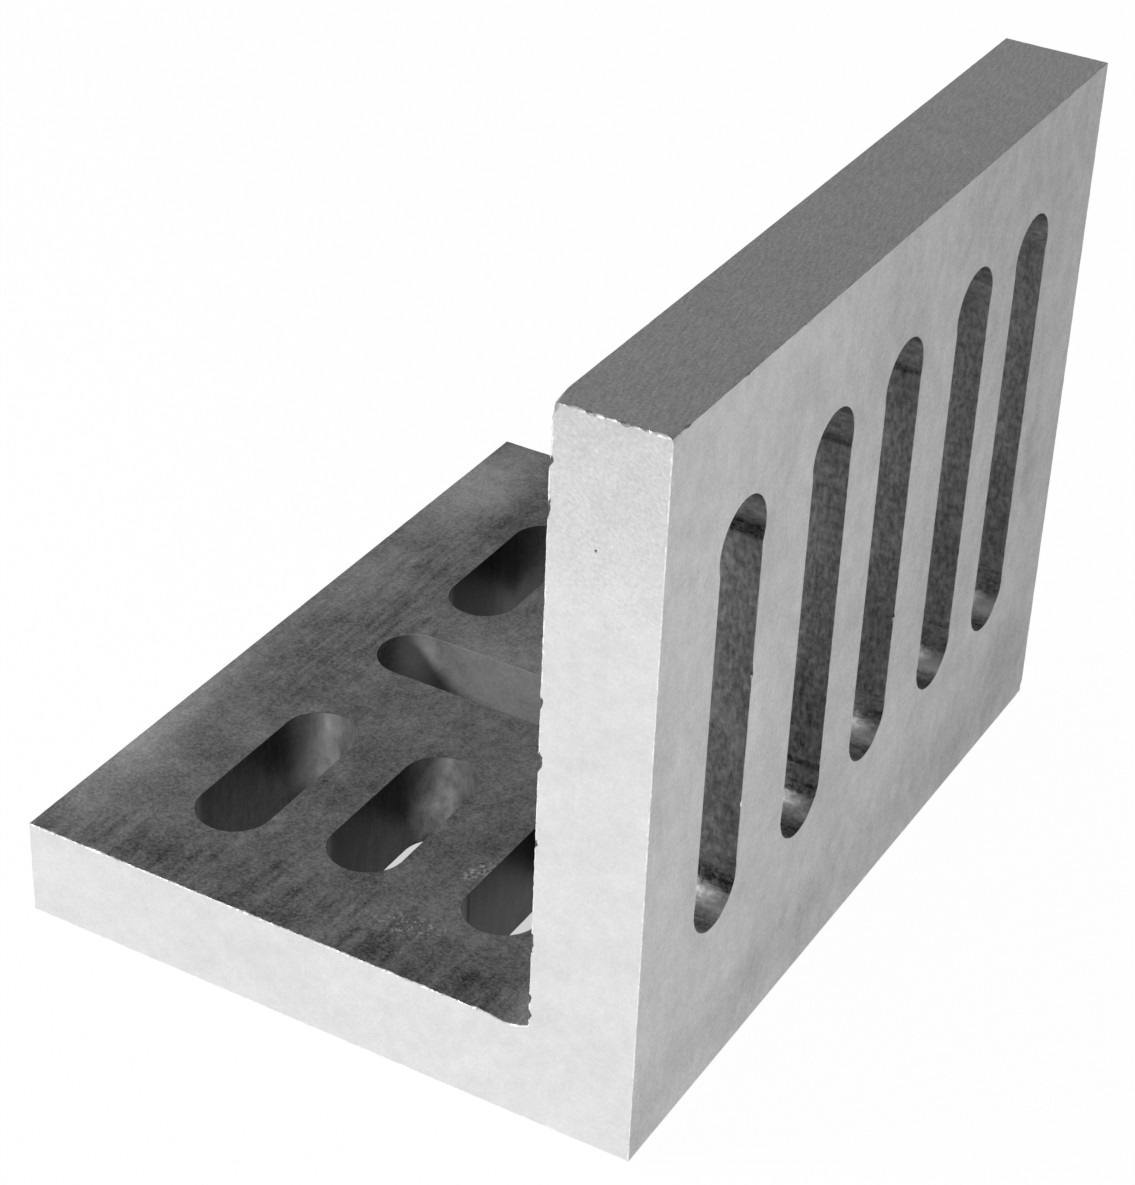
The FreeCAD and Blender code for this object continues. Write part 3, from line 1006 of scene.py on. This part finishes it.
    def cut_slots(self) -> dict[Side, list[list[Point]]]:
        """Cut all the through slots, and give the loops that they cut in every side."""
        holes: dict[Side, list[list[Point]]] = {side: [] for side in Side}
        for near, far, row in (
            (Side.WALL_FACE, Side.INNER_FACE, self.wall_slots()),
            (Side.BASE_TOP, Side.UNDERSIDE, self.base_slots()),
        ):
            for slot in row:
                for side, loop in zip((near, far), self.cut_slot(near, slot)):
                    holes[side].append(loop)
        return holes

    def cut_slot(self, side: Side, slot: Slot) -> tuple[list[Point], list[Point]]:
        """Line one through slot and break its two rims.

        Args:
            side: the wall face or the base top, where it opens.
            slot: the slot.

        Returns:
            The loops that it cuts in that side and in the far one.
        """
        upright = side is Side.WALL_FACE
        near_at, far_at = self.section.base_thickness, 0.0
        if upright:
            near_at, far_at = self.section.outer, self.section.inner

        def place(flat: Flat, depth: float, out: Flat = (0.0, 0.0), setback: float = 0.0) -> Point:
            """Point of the slot at a depth through the leg, set back outward."""
            flat = (flat[0] + out[0] * setback, flat[1] + out[1] * setback)
            return (depth, *flat) if upright else (*flat, depth)

        parts = slot.outline(self.slot_step)
        drilled = Skin.DRILLED_END if upright else slot.skin
        lining = [drilled if round_end else slot.skin for _, _, round_end in parts]
        flats = [flat for flat, _, _ in parts]
        distances = list(accumulate(map(math.dist, flats, flats[1:]), initial=0.0))
        loops: list[list[Point]] = [[], [], [], []]
        for distance, (flat, out, _) in zip(distances, parts):
            near_flat, near_deep = slot.rims[0].setback(distance)
            far_flat, far_deep = slot.rims[1].setback(distance)
            loops[0].append(place(flat, near_at, out, near_flat))
            loops[1].append(place(flat, near_at - near_deep))
            loops[2].append(place(flat, far_at + far_deep))
            loops[3].append(place(flat, far_at, out, far_flat))
        near_skins, far_skins = ([rim.skin_at(distance) for distance in distances] for rim in slot.rims)
        self.mesh.strip(loops[:2], near_skins, closed=True)
        self.mesh.strip(loops[1:3], lining, closed=True, smooth=True)
        self.mesh.strip(loops[2:], far_skins, closed=True)
        return loops[0], loops[3]


class Shade:
    """A value in a node tree, so that arithmetic on it adds Math nodes."""

    def __init__(self, tree: "NodeBench", socket: bpy.types.NodeSocket) -> None:
        """Wrap an output socket of a tree."""
        self.tree = tree
        self.socket = socket

    def math(self, operation: str, *others: "Shade | float") -> "Shade":
        """Result of a Math node on this value and others."""
        inputs = dict(enumerate((self, *others)))
        return self.tree.node("ShaderNodeMath", {"operation": operation}, inputs)

    def __add__(self, other: "Shade | float") -> "Shade":
        """Sum."""
        return self.math("ADD", other)

    __radd__ = __add__

    def __mul__(self, other: "Shade | float") -> "Shade":
        """Product."""
        return self.math("MULTIPLY", other)

    __rmul__ = __mul__

    def __sub__(self, other: "Shade | float") -> "Shade":
        """Difference."""
        return self.math("SUBTRACT", other)

    def __rsub__(self, other: float) -> "Shade":
        """Difference from a plain number."""
        return self * -1.0 + other

    def within(self, low: float, high: float) -> "Shade":
        """Smooth step from 0 at low to 1 at high."""
        inputs = {"Value": self, "From Min": low, "From Max": high}
        return self.tree.node("ShaderNodeMapRange", {"interpolation_type": "SMOOTHSTEP"}, inputs)

    def capped(self) -> "Shade":
        """The value kept from 0 to 1."""
        return self.tree.node("ShaderNodeClamp", {}, {"Value": self})


class NodeBench:
    """Adds nodes to one tree."""

    def __init__(self, tree: bpy.types.NodeTree) -> None:
        """Work on a tree."""
        self.tree = tree

    @classmethod
    def material(cls, name: str) -> "tuple[bpy.types.Material, NodeBench]":
        """A new material with an empty tree, and the bench for it."""
        material = bpy.data.materials.new(name)
        material.use_nodes = True
        material.node_tree.nodes.clear()
        return material, cls(material.node_tree)

    def node(self, kind: str, settings: dict, inputs: dict, output: int | str = 0) -> Shade:
        """Add one node.

        Args:
            kind: its type.
            settings: its own settings, set before its inputs.
            inputs: values or links for its sockets, by name or number.
            output: the socket that is wanted of it.

        Returns:
            The wanted output.
        """
        made = self.tree.nodes.new(kind)
        for name, value in settings.items():
            setattr(made, name, value)
        for name, value in inputs.items():
            socket = made.inputs[name]
            if isinstance(value, Shade):
                self.tree.links.new(value.socket, socket)
            else:
                socket.default_value = value
        return Shade(self, made.outputs[output]) if made.outputs else Shade(self, None)

    def mapped(self, place: Shade, size: Point, turn: Point, centre: Point = (0.0, 0.0, 0.0)) -> Shade:
        """Place in the measures of a turned box.

        Args:
            place: the place in metres.
            size: what is one along each of the box's axes, in millimetres.
            turn: degrees by which the box is turned about X, Y and Z.
            centre: the box's middle in millimetres.

        Returns:
            The place as the box measures it.
        """
        inputs = {
            "Vector": place,
            "Location": tuple(c * MM for c in centre),
            "Rotation": tuple(map(math.radians, turn)),
            "Scale": tuple(s * MM for s in size),
        }
        return self.node("ShaderNodeMapping", {"vector_type": "TEXTURE"}, inputs)

    def colour_between(self, share: Shade, low: Colour, high: Colour) -> Shade:
        """Colour at a share of the way between two."""
        mixed = self.tree.nodes.new("ShaderNodeMix")
        mixed.data_type = "RGBA"
        sockets = {socket.identifier: socket for socket in mixed.inputs}
        self.tree.links.new(share.socket, sockets["Factor_Float"])
        sockets["A_Color"].default_value = low
        sockets["B_Color"].default_value = high
        result = next(s for s in mixed.outputs if s.identifier == "Result_Color")
        return Shade(self, result)


@dataclass(frozen=True)
class Grain:
    """One layer of uneven tone and height.

    Attributes:
        size: size of its grains in millimetres along X, Y and Z.
        tone: its weight in the tone.
        relief: its height in millimetres.
        detail: how many finer layers it carries.
        turn: degrees by which it is turned about X, Y and Z.
        zone: the patch in which it shows, if it doesn't show everywhere.
    """

    size: Point
    tone: float
    relief: float = 0.0
    detail: float = 3.0
    turn: Point = (0.0, 0.0, 0.0)
    zone: Stain | None = None

    FINER_SHARE = 0.62

    def noise(self, bench: NodeBench, place: Shade, wander: Shade) -> Shade:
        """Its value, round zero."""
        scaled = bench.mapped(place, self.size, self.turn)
        inputs = {"Vector": scaled, "Scale": 1.0, "Detail": self.detail, "Roughness": self.FINER_SHARE}
        value = bench.node("ShaderNodeTexNoise", {}, inputs) - 0.5
        return value * self.zone.mask(bench, place, wander) if self.zone else value


@dataclass(frozen=True)
class IronFinish:
    """The look of one machined surface of the casting.

    Attributes:
        name: the material's name.
        dark: linear tone of its darkest parts.
        light: linear tone of its brightest parts.
        usual: where its usual tone lies between them.
        rough: roughness from and to.
        metal: how metallic it is.
        grains: its layers of mottling and tool marks.
        stains: its patches.
        specks: weight of small bright specks.
        speck_zone: the patch in which they lie.
        shine: specular level of what isn't metallic.
    """

    name: str
    dark: float
    light: float
    usual: float
    rough: Flat
    metal: float
    grains: tuple[Grain, ...]
    stains: tuple[Stain, ...] = ()
    specks: float = 0.0
    speck_zone: Stain | None = None
    shine: float = 0.5

    # what makes the outlines of the patches wander
    WANDER = Grain((7.0, 7.0, 7.0), 1.0, detail=4.0)
    # what makes the specks, and between which of its values one fades in
    SPECKS = Grain((0.7, 0.7, 0.7), 1.0, detail=1.0)
    SPECK_EDGE = (0.07, 0.14)
    # how far a grain usually swings from zero
    SWING = 0.25

    def material(self) -> bpy.types.Material:
        """Make the material."""
        material, bench = NodeBench.material(self.name)
        place = bench.node("ShaderNodeTexCoord", {}, {}, "Object")
        wander = self.WANDER.noise(bench, place, place) + 0.5
        noises = [grain.noise(bench, place, wander) for grain in self.grains]
        tone: Shade | float = self.usual
        height: Shade | float = 0.0
        for grain, value in zip(self.grains, noises):
            tone = value * grain.tone + tone
            if grain.relief:
                height = value * grain.relief + height
        for stain in self.stains:
            tone = stain.mask(bench, place, wander) * stain.tone + tone
        if self.specks:
            lit = self.SPECKS.noise(bench, place, wander).within(*self.SPECK_EDGE) * self.specks
            tone = (lit * self.speck_zone.mask(bench, place, wander) if self.speck_zone else lit) + tone
        colour = bench.colour_between(tone.capped(), grey(self.dark), grey(self.light))
        swing = {"Value": noises[0], "From Min": -self.SWING, "From Max": self.SWING}
        levels = {"To Min": self.rough[0], "To Max": self.rough[1]}
        roughness = bench.node("ShaderNodeMapRange", {}, swing | levels)
        bump = bench.node("ShaderNodeBump", {}, {"Height": height, "Strength": 1.0, "Distance": MM})
        varied = {"Base Color": colour, "Roughness": roughness, "Normal": bump}
        even = {"Metallic": self.metal, "Specular IOR Level": self.shine}
        surface = bench.node("ShaderNodeBsdfPrincipled", {}, varied | even)
        bench.node("ShaderNodeOutputMaterial", {}, {"Surface": surface})
        return material


# painted highlights and painted shade bands on the wall slots' drilled ends, shared by two finishes
DRILL_END_PAINTED_LIGHT = Casting().painted_drill_end_bands()
FINISHES = {
    # the end faces are lighter than the wall face: partly their cleaner grinding and partly painted light
    # from the front
    Skin.END_GROUND: IronFinish(
        "end_ground_iron", 0.6, 1.0, 0.48, (0.36, 0.5), 1.0,
        (
            Grain((0.6, 0.6, 0.6), 0.55, 0.012),
            Grain((14.0, 14.0, 7.0), 0.35, turn=(0.0, -30.0, 0.0)),
            Grain((2.2, 2.2, 2.2), 0.35, 0.008),
            Grain(
                (0.45, 0.6, 0.7), 1.0, 0.03, turn=(0.0, -50.0, 0.0),
                zone=Stain((48.0, -76.2, 118.0), (40.0, 20.0, 24.0), soft=0.7),
            ),
        ),
        (Stain((48.0, -76.2, 132.0), (60.0, 20.0, 26.0), -0.3, soft=0.8),),
    ),
    Skin.WALL_GROUND: IronFinish(
        "wall_ground_iron", 0.15, 0.85, 0.6, (0.38, 0.5), 1.0,
        (
            Grain((0.6, 0.6, 0.6), 0.5, 0.01),
            Grain((16.0, 16.0, 24.0), 0.3),
            Grain((3.0, 3.0, 4.0), 0.28),
        ),
        (
            # painted shade: the wall face darkens towards the back, where its reflected light falls off
            Stain((57.0, 96.0, 60.0), (200.0, 128.0, 400.0), -0.31, soft=0.85, ragged=0.3),
            Stain((57.0, 10.0, 0.0), (200.0, 400.0, 15.0), -0.08, soft=0.5, ragged=0.4),
            Stain((57.0, 64.0, 60.0), (10.0, 3.0, 9.0), -0.08, soft=0.6),
            Stain((57.0, 62.0, 14.0), (10.0, 9.0, 9.0), -0.06, soft=0.8),
            Stain((57.0, -36.0, 10.0), (10.0, 26.0, 5.0), -0.05, soft=0.8),
        ),
    ),
    Skin.TOP_GROUND: IronFinish(
        "top_ground_iron", 0.32, 0.88, 0.5, (0.4, 0.52), 1.0,
        (
            Grain((0.5, 0.5, 0.5), 0.9, 0.014),
            Grain((9.0, 9.0, 9.0), 0.2),
            Grain((0.45, 3.2, 1.0), 0.75, 0.016, turn=(0.0, 0.0, 12.0)),
        ),
        (Stain((47.0, -90.0, 127.0), (60.0, 110.0, 200.0), -0.12, soft=0.8, ragged=0.3),),
    ),
    Skin.BASE_MILLED: IronFinish(
        "base_milled_iron", 0.05, 0.75, 0.31, (0.42, 0.58), 0.9,
        (
            Grain((0.5, 0.5, 0.5), 0.7, 0.02),
            Grain(
                (0.6, 0.6, 0.6), 2.0, 0.02, 2.0,
                zone=Stain((12.0, -46.8, 18.0), (1.8, 3.6, 30.0), turn=-20.0),
            ),
            Grain((11.0, 11.0, 11.0), 0.5, detail=5.0),
            Grain((2.0, 3.0, 2.0), 0.3),
            Grain(
                (1.1, 10.0, 1.0), 0.6, 0.012, 3.0, (0.0, 0.0, -2.0),
                Stain((-42.0, 14.0, 18.0), (12.0, 36.0, 30.0), soft=0.6, ragged=1.2),
            ),
            Grain(
                (1.7, 16.0, 1.0), 0.5, 0.01, 1.5, (0.0, 0.0, -3.0),
                Stain((-8.0, -78.0, 18.0), (70.0, 15.0, 30.0), soft=0.5, ragged=1.4),
            ),
        ),
        (
            Stain((-53.0, 58.0, 18.0), (8.0, 15.0, 30.0), 0.34, soft=0.7),
            Stain((-53.0, 18.0, 18.0), (8.0, 12.0, 30.0), 0.16, soft=0.7),
            Stain((-57.5, -32.0, 18.0), (4.5, 26.0, 30.0), 0.3, soft=0.7),
            Stain((-54.0, -55.0, 18.0), (6.0, 14.0, 30.0), 0.16, soft=0.7),
            Stain((-15.0, 9.0, 18.0), (12.0, 8.0, 30.0), 0.14, soft=0.6),
            Stain((-20.0, -71.0, 18.0), (22.0, 7.0, 30.0), -0.08, soft=0.6),
            Stain((14.0, -70.0, 18.0), (16.0, 9.0, 30.0), -0.08, soft=0.6),
            Stain((2.0, -36.0, 18.0), (34.0, 22.0, 30.0), -0.06, soft=0.6),
            Stain((-38.0, 50.0, 18.0), (5.0, 12.0, 30.0), -0.1, soft=0.5),
            Stain((12.2, -46.5, 18.0), (1.5, 3.4, 30.0), 0.14, turn=-20.0, soft=0.8, ragged=1.4),
        ),
        0.4,
        Stain((9.0, -64.8, 18.0), (6.5, 2.6, 30.0), turn=20.0, soft=0.5, ragged=1.2),
    ),
    Skin.WALL_SLOT: IronFinish(
        "wall_slot_iron", 0.05, 0.72, 0.48, (0.36, 0.5), 0.85,
        (
            Grain((0.7, 0.7, 1.5), 0.9, 0.015),
            Grain((4.0, 4.0, 12.0), 0.5),
            Grain((3.0, 0.8, 0.9), 0.3, 0.01),
        ),
        (
            Stain((48.0, -23.5, 70.0), (40.0, 14.0, 100.0), -0.05, soft=0.3, ragged=0.3),
            Stain((48.0, 14.0, 80.0), (40.0, 24.0, 36.0), -0.05, soft=0.5, ragged=0.3),
            # painted shade: darker towards the wall slots' low ends
            Stain((48.0, 14.0, 30.0), (40.0, 64.0, 26.0), -0.18, soft=0.7, ragged=0.3),
            Stain((56.0, -58.7, 93.7), (2.0, 1.0, 0.7), 0.45, ragged=0.4),
            # painted highlights and painted shade bands on the drilled ends
            *DRILL_END_PAINTED_LIGHT,
        ),
    ),
    Skin.DRILLED_END: IronFinish(
        "drilled_end_iron", 0.05, 0.8, 0.55, (0.32, 0.45), 0.9,
        (
            Grain((0.7, 0.7, 0.7), 0.8, 0.015),
            Grain((4.0, 4.0, 4.0), 0.4),
            Grain((6.0, 0.7, 0.7), 0.7, 0.012),
        ),
        (
            # painted shade: darker towards the wall slots' low ends
            Stain((48.0, 14.0, 30.0), (40.0, 90.0, 26.0), -0.16, soft=0.7, ragged=0.3),
            # painted highlights and painted shade bands on the drilled ends
            *DRILL_END_PAINTED_LIGHT,
        ),
    ),
    # the base slots' lining: the wall slots' milled iron painted much darker as shade, with painted
    # highlights
    Skin.BASE_SLOT_SHADE_AND_HIGHLIGHT: IronFinish(
        "base_slot_shade_and_highlight_iron", 0.005, 0.72, 0.032, (0.36, 0.46), 0.8,
        (
            Grain((0.8, 0.8, 1.4), 0.14, 0.02),
            Grain((2.2, 2.2, 7.0), 0.1),
            Grain(
                (1.8, 1.8, 3.0), 1.3, 0.0, 4.0,
                zone=Stain((-20.0, -20.0, 12.5), (20.0, 6.0, 14.0), soft=0.7),
            ),
        ),
        (
            # painted highlights on the far ends of the first two front slots, where the key light falls
            Stain((-32.4, -21.5, 15.5), (6.5, 6.8, 12.5), 0.68, soft=0.9, ragged=0.4),
            Stain((-7.9, -21.5, 15.0), (6.5, 6.8, 13.0), 0.58, soft=0.9, ragged=0.4),
            *(Stain((wall, 0.0, 9.0), (2.4, 90.0, 14.0), 0.14, soft=0.5) for wall in (-24.5, 0.0, 26.9)),
            Stain((15.0, -45.0, 9.0), (9.0, 24.0, 14.0), 0.055, soft=0.4, ragged=0.4),
            Stain((-13.6, -48.0, 11.0), (5.0, 11.0, 9.0), -0.026, soft=0.6, ragged=0.4),
            Stain((-37.0, 54.0, 11.0), (10.0, 12.0, 18.0), 0.14, soft=0.8, ragged=0.4),
            Stain((-36.0, 31.0, 9.0), (10.0, 12.0, 12.0), -0.045, soft=0.6, ragged=0.4),
            Stain((13.7, -52.9, 14.4), (1.2, 0.5, 3.6), -0.1, soft=0.3, ragged=0.3),
        ),
        shine=0.12,
    ),
    # the cross slot's lining, painted darker as shade for its shadowed left end
    Skin.CROSS_SLOT_LIGHT_AND_SHADE: IronFinish(
        "cross_slot_light_and_shade_iron", 0.02, 0.56, 0.135, (0.55, 0.7), 0.1,
        (
            Grain((0.8, 0.8, 0.8), 0.3, 0.02),
            Grain((5.0, 5.0, 5.0), 0.3),
        ),
        (
            # painted light on the far wall, which faces the key light
            Stain((-2.0, 7.3, 10.0), (30.0, 3.0, 30.0), 0.3, soft=0.3, ragged=0.2),
            # painted light under the shadow edge at the left end, which softens it
            Stain((-34.6, 7.3, 11.5), (3.2, 4.0, 7.5), 0.55, soft=0.8, ragged=0.4),
        ),
        shine=0.12,
    ),
    Skin.EDGE_BURR: IronFinish(
        "edge_burr_iron", 0.35, 1.0, 0.85, (0.3, 0.4), 0.7,
        (Grain((2.6, 2.6, 2.6), 1.6), Grain((0.5, 0.5, 0.5), 1.0, 0.02)),
    ),
    Skin.EDGE_DRESSED: IronFinish(
        "edge_dressed_iron", 0.22, 0.8, 0.45, (0.35, 0.5), 1.0,
        (Grain((2.2, 2.2, 2.2), 1.4), Grain((0.6, 0.6, 0.6), 0.8, 0.02)),
    ),
    # the corner cut is painted lighter than the base top, as painted light for the light that its slope
    # catches
    Skin.CORNER_CUT: IronFinish(
        "corner_cut_iron", 0.2, 0.8, 0.64, (0.35, 0.45), 1.0,
        (
            Grain((0.5, 0.5, 0.5), 1.2, 0.015),
            Grain((3.0, 3.0, 3.0), 0.6),
            Grain((0.5, 7.0, 0.5), 0.6, 0.015),
        ),
        # the painted light is taken back to the base top's tone where the dip starts
        (Stain((31.0, 0.0, 18.0), (4.6, 200.0, 30.0), -0.5, soft=0.8, ragged=0.8),),
    ),
}


@dataclass(frozen=True)
class Softbox:
    """A square studio lamp that looks at the plate.

    Attributes:
        name: its name.
        place: where it hangs, in metres.
        side: its width in metres.
        power: in watts.
    """

    name: str
    place: Point
    side: float
    power: float

    def hang(self, target: Point) -> None:
        """Add the lamp and turn it to a target."""
        light = bpy.data.lights.new(self.name, "AREA")
        light.shape = "SQUARE"
        light.size = self.side
        light.energy = self.power
        lamp = bpy.data.objects.new(self.name, light)
        lamp.location = self.place
        lamp.rotation_euler = (Vector(target) - Vector(self.place)).to_track_quat("-Z", "Y").to_euler()
        bpy.context.scene.collection.objects.link(lamp)


@dataclass(frozen=True)
class Studio:
    """The white floor, the soft light and the camera.

    Attributes:
        eye: the camera's place in metres.
        right: the picture's right-hand direction.
        up: the picture's upward direction.
        back: the direction from the plate to the camera.
        lens: focal length in millimetres.
        sensor: length of the picture's long side on the sensor.
        floor_side: width of the whole floor in metres.
        floor_drop: how far the floor lies below the plate.
        footprint: half of the plate's size along X and Y.
        floor_glow: share of the floor's white that shadows don't reach, in the open and under the plate.
        world: linear tone of the room.
        lamps: the lamps.
        target: what the lamps look at, in metres.
        matt: linear tone of the floor where light falls on it.
        clip: nearest and farthest distance that the camera sees, in metres.
    """

    eye: Point = (0.21348, -0.38636, 0.32410)
    right: Point = (0.86373, 0.50267, 0.03585)
    up: Point = (-0.29687, 0.45004, 0.84222)
    back: Point = (0.40723, -0.73809, 0.53795)
    lens: float = 92.895
    sensor: float = 36.0
    floor_side: float = 12.0
    floor_drop: float = 0.00005
    footprint: Flat = (Section().outer * MM, Casting().half * MM)
    floor_glow: Flat = (0.98, 0.6)
    world: float = 0.3
    lamps: tuple[Softbox, ...] = (
        Softbox("key_softbox", (-0.95, -0.83, 0.83), 0.3, 20.0),
        Softbox("fill_softbox", (1.1, -0.7, 0.7), 0.9, 3.0),
    )
    target: Point = (0.0, 0.0, 0.05)
    matt: float = 0.9
    clip: Flat = (0.01, 50.0)

    def set_up(self) -> None:
        """Add floor, world, lamps and camera, and set the plain view transform."""
        self.lay_floor()
        self.light_room()
        for lamp in self.lamps:
            lamp.hang(self.target)
        self.place_camera()
        bpy.context.scene.view_settings.view_transform = "Standard"

    def lay_floor(self) -> None:
        """Lay the white floor, and the shaded white sheet that shows through the slots."""
        half = self.floor_side / 2
        wide, long = self.footprint
        outer = [(-half, -half), (half, -half), (half, half), (-half, half)]
        under = [(-wide, -long), (wide, -long), (wide, long), (-wide, long)]
        ring = [(k, (k + 1) % 4, (k + 1) % 4 + 4, k + 4) for k in range(4)]
        for name, corners, faces, glow in (
            ("floor", outer + under, ring, self.floor_glow[0]),
            ("sheet_under_plate", under, [(0, 1, 2, 3)], self.floor_glow[1]),
        ):
            mesh = bpy.data.meshes.new(name)
            mesh.from_pydata([(x, y, -self.floor_drop) for x, y in corners], [], faces)
            floor = bpy.data.objects.new(name, mesh)
            bpy.context.scene.collection.objects.link(floor)
            mesh.materials.append(self.white(name + "_white", glow))
            floor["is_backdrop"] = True

    def white(self, name: str, share: float) -> bpy.types.Material:
        """White that shows to the camera and in the metal, and keeps a soft shadow.

        Args:
            name: the material's name.
            share: share of the white that shadows don't reach.

        Returns:
            The material.
        """
        material, bench = NodeBench.material(name)
        seen = bench.node("ShaderNodeLightPath", {}, {}, "Is Camera Ray")
        source = seen.socket.node
        for output in ("Is Glossy Ray", "Is Transmission Ray"):
            seen = seen.math("MAXIMUM", Shade(bench, source.outputs[output]))
        matt = bench.node("ShaderNodeBsdfDiffuse", {}, {"Color": grey(self.matt)})
        glow = bench.node("ShaderNodeEmission", {}, {"Color": grey(1.0), "Strength": 1.0})
        mixed = bench.node("ShaderNodeMixShader", {}, {0: seen * share, 1: matt, 2: glow})
        bench.node("ShaderNodeOutputMaterial", {}, {"Surface": mixed})
        return material

    def light_room(self) -> None:
        """Give the room its even grey light."""
        world = bpy.data.worlds.new("studio")
        world.use_nodes = True
        world.node_tree.nodes.clear()
        bench = NodeBench(world.node_tree)
        glow = bench.node("ShaderNodeBackground", {}, {"Color": grey(self.world), "Strength": 1.0})
        bench.node("ShaderNodeOutputWorld", {}, {"Surface": glow})
        bpy.context.scene.world = world

    def place_camera(self) -> None:
        """Put the camera where the photograph was taken from."""
        data = bpy.data.cameras.new("camera")
        data.lens = self.lens
        data.sensor_width = self.sensor
        data.clip_start, data.clip_end = self.clip
        camera = bpy.data.objects.new("camera", data)
        turn = Matrix((self.right, self.up, self.back)).transposed().to_4x4()
        camera.matrix_world = Matrix.Translation(self.eye) @ turn
        bpy.context.scene.collection.objects.link(camera)
        bpy.context.scene.camera = camera


def main() -> tuple[Vector, Vector]:
    """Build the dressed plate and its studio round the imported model.

    Returns:
        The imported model's box.
    """
    logging.basicConfig(level=logging.INFO, format="%(name)s: %(message)s")
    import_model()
    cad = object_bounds()
    materials = [FINISHES[skin].material() for skin in Skin]
    plate = Casting().build(materials)
    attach(plate, BODY)
    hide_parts(NODE)
    LOG.info("%s rides on %s", plate.name, BODY)
    Studio().set_up()
    return cad


if __name__ == "__main__":
    cad_box = main()
